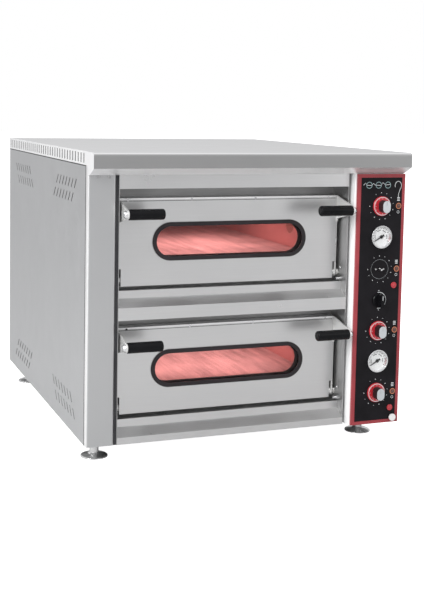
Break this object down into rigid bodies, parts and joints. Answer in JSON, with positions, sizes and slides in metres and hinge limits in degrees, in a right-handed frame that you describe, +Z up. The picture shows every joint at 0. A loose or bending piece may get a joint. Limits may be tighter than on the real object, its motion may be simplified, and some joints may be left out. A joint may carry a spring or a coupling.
{
  "type": "countertop pizza oven",
  "caption": "Stainless double-deck electric pizza oven with drop-down windowed doors, black grips, a red-edged control column, a wide cover and round feet",
  "frame": {"origin": "on the floor, at the middle of the footprint of the whole oven", "axes": "X across the front, Y from the front to the back, Z up; the doors face -Y"},
  "size_m": [0.9, 1.078, 0.8],
  "materials": {
    "sheet_steel": "fine brushed stainless sheet",
    "tray_red": "dark red gloss paint",
    "overlay_black": "printed black film",
    "trim_black": "matt black paint",
    "chamber_steel": "heat-dulled aluminised steel",
    "fire_stone": "fired refractory stone",
    "element_steel": "oxidised element sheath",
    "insulation": "mineral wool",
    "lamp_ceramic": "glazed lamp cup",
    "switch_plastic": "moulded switch body",
    "terminal_plastic": "moulded plastic",
    "bush_metal": "turned",
    "pin_steel": "turned",
    "chrome": "bright plated",
    "clear_lens": "clear",
    "amber_lens": "amber lens",
    "red_lens": "red lens",
    "door_steel": "polished stainless sheet",
    "gasket_rubber": "black silicone",
    "window_glass": "heat-resistant glass",
    "lever_steel": "polished",
    "grip_plastic": "black thermoset",
    "dial_red": "red with a white rim",
    "pointer_grey": "light grey",
    "needle_black": "black",
    "button_white": "white"
  },
  "bodies": {
    "casing": {"base_pan": "sheet_steel", "left_side_panel": "sheet_steel", "right_side_panel": "sheet_steel", "rear_panel": "sheet_steel", "top_cover": "sheet_steel", "left_post": "sheet_steel", "control_column": "sheet_steel", "panel_tray": "tray_red", "panel_overlay": "overlay_black", "lintel": "sheet_steel", "middle_sill": "sheet_steel", "bottom_sill": "sheet_steel", "gap_trims": "trim_black", "jamb_plates": "sheet_steel", "front_bulkhead": "sheet_steel", "upper_chamber": "chamber_steel", "lower_chamber": "chamber_steel", "baking_stones": "fire_stone", "heating_elements": "element_steel", "insulation_slabs": "insulation", "chamber_lamps": "lamp_ceramic", "thermostat_bodies": "switch_plastic", "switch_bodies": "switch_plastic", "terminal_block": "terminal_plastic", "cable_gland": "terminal_plastic", "hinge_bushes": "bush_metal", "door_stops": "pin_steel", "levelling_feet": "chrome", "gauge_cases": "chrome", "gauge_lenses": "clear_lens", "pilot_lamps": "amber_lens", "red_lamps": "red_lens", "casing_screws": "chrome"},
    "upper_door": {"upper_door_skin": "door_steel", "upper_door_liner": "door_steel", "upper_door_fill": "insulation", "upper_window_gasket": "gasket_rubber", "upper_window_glass": "window_glass", "upper_handle_levers": "lever_steel", "upper_handle_grips": "grip_plastic", "upper_handle_bolts": "chrome"},
    "lower_door": {"lower_door_skin": "door_steel", "lower_door_liner": "door_steel", "lower_door_fill": "insulation", "lower_window_gasket": "gasket_rubber", "lower_window_glass": "window_glass", "lower_handle_levers": "lever_steel", "lower_handle_grips": "grip_plastic", "lower_handle_bolts": "chrome"},
    "upper_top_knob": {"upper_top_dial": "dial_red", "upper_top_handle": "pointer_grey"},
    "upper_base_shaft": {"upper_base_spindle": "chrome"},
    "lower_top_knob": {"lower_top_dial": "dial_red", "lower_top_handle": "pointer_grey"},
    "lower_base_knob": {"lower_base_dial": "dial_red", "lower_base_handle": "pointer_grey"},
    "main_switch": {"main_switch_knob": "grip_plastic"},
    "upper_gauge_hand": {"upper_gauge_needle": "needle_black"},
    "lower_gauge_hand": {"lower_gauge_needle": "needle_black"},
    "light_switch": {"light_button": "button_white"}
  },
  "joints": [
    {"name": "upper_door_hinge", "type": "hinge", "parent": "casing", "child": "upper_door", "pos_m": [-0.0385, -0.419, 0.461], "axis": [1, 0, 0], "range_deg": [0, 90]},
    {"name": "lower_door_hinge", "type": "hinge", "parent": "casing", "child": "lower_door", "pos_m": [-0.0385, -0.419, 0.121], "axis": [1, 0, 0], "range_deg": [0, 90]},
    {"name": "upper_top_thermostat", "type": "hinge", "parent": "casing", "child": "upper_top_knob", "pos_m": [0.377, -0.501, 0.652], "axis": [0, 1, 0], "range_deg": [0, 300]},
    {"name": "upper_base_thermostat", "type": "hinge", "parent": "casing", "child": "upper_base_shaft", "pos_m": [0.377, -0.501, 0.477], "axis": [0, 1, 0], "range_deg": [0, 300]},
    {"name": "lower_top_thermostat", "type": "hinge", "parent": "casing", "child": "lower_top_knob", "pos_m": [0.377, -0.501, 0.305], "axis": [0, 1, 0], "range_deg": [0, 300]},
    {"name": "lower_base_thermostat", "type": "hinge", "parent": "casing", "child": "lower_base_knob", "pos_m": [0.377, -0.501, 0.13], "axis": [0, 1, 0], "range_deg": [0, 300]},
    {"name": "main_switch_turn", "type": "hinge", "parent": "casing", "child": "main_switch", "pos_m": [0.377, -0.501, 0.39], "axis": [0, 1, 0], "range_deg": [0, 90]},
    {"name": "upper_gauge_sweep", "type": "hinge", "parent": "casing", "child": "upper_gauge_hand", "pos_m": [0.377, -0.501, 0.567], "axis": [0, 1, 0], "range_deg": [0, 235]},
    {"name": "lower_gauge_sweep", "type": "hinge", "parent": "casing", "child": "lower_gauge_hand", "pos_m": [0.377, -0.501, 0.22], "axis": [0, 1, 0], "range_deg": [0, 235]},
    {"name": "light_button_press", "type": "slide", "parent": "casing", "child": "light_switch", "axis": [0, 1, 0], "range_m": [0, 0.003], "stiffness_N_per_m": 200}
  ]
}
